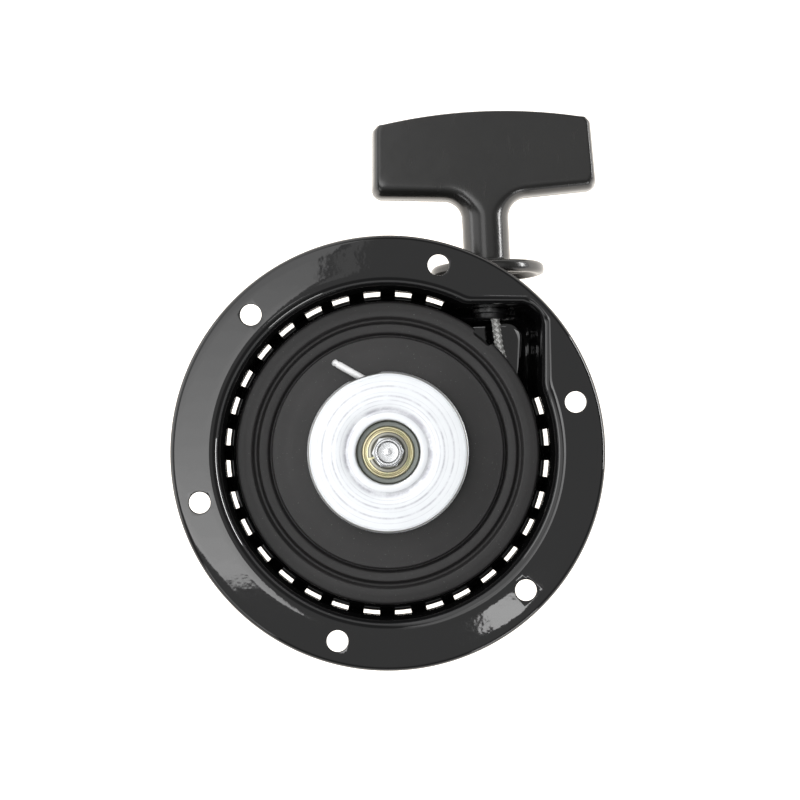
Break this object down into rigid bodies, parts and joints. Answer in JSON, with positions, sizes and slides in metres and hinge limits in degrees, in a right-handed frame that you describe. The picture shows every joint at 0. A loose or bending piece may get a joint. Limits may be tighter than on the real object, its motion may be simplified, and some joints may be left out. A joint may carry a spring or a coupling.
{
  "type": "recoil starter",
  "caption": "Round recoil starter for a small engine: slotted flanged cup, rope reel with friction plate and pawl, T-shaped pull grip.",
  "frame": {"origin": "centre of the cover's flat outer face, on the crank axis", "axes": "+Z along the crank axis out of the open side, towards the engine; +Y towards the grip, the way the rope is pulled; +X to the right when looking into the open side with the grip up"},
  "size_m": [0.184, 0.2422, 0.057],
  "materials": {
    "black_paint": "gloss",
    "black_nylon": "satin",
    "grip_plastic": "satin",
    "guide_nylon": "satin",
    "bright_zinc": "turned",
    "yellow_zinc": "satin",
    "plain_steel": "satin",
    "spring_steel": "blued",
    "sintered_bronze": "matte",
    "rope_braid": "braided"
  },
  "bodies": {
    "housing": {"housing": "black_paint", "center_post": "plain_steel", "rope_guide": "guide_nylon", "reel_washer": "plain_steel", "power_spring": "spring_steel", "friction_spring": "spring_steel", "thrust_washer": "yellow_zinc", "lock_washer": "bright_zinc", "center_bolt": "bright_zinc"},
    "reel": {"reel": "black_nylon", "reel_bush": "sintered_bronze", "spring_keeper": "bright_zinc", "rope_wound": "rope_braid", "rope_knot_reel": "rope_braid", "pawl_spring": "spring_steel"},
    "friction_plate": {"friction_plate": "bright_zinc"},
    "pawl": {"pawl": "plain_steel"},
    "handle": {"handle_grip": "grip_plastic", "handle_washer": "plain_steel", "rope_knot_handle": "rope_braid", "rope_lead": "rope_braid"}
  },
  "joints": [
    {"name": "reel_spin", "type": "hinge", "parent": "housing", "child": "reel", "pos_m": [0, 0, 0.028], "axis": [0, 0, 1], "range_deg": [0, 700], "stiffness_Nm_per_rad": 0.05, "springref_deg": -343.77, "deforming": ["power_spring"]},
    {"name": "handle_pull", "type": "slide", "parent": "housing", "child": "handle", "axis": [-0.0454, 0.999, 0], "range_m": [0, 0.74], "deforming": ["rope_lead"]},
    {"name": "plate_lag", "type": "hinge", "parent": "reel", "child": "friction_plate", "pos_m": [0, 0, 0.0467], "axis": [0, 0, 1], "range_deg": [0, 30]},
    {"name": "pawl_swing", "type": "hinge", "parent": "reel", "child": "pawl", "pos_m": [0.0075, 0.0214, 0.043], "axis": [0, 0, 1], "range_deg": [0, 30], "deforming": ["pawl_spring"]}
  ],
  "couplings": [
    {"joint": "handle_pull", "follows": "reel_spin", "m_per_rad": 0.0605},
    {"joint": "pawl_swing", "follows": "plate_lag", "ratio": 1}
  ]
}
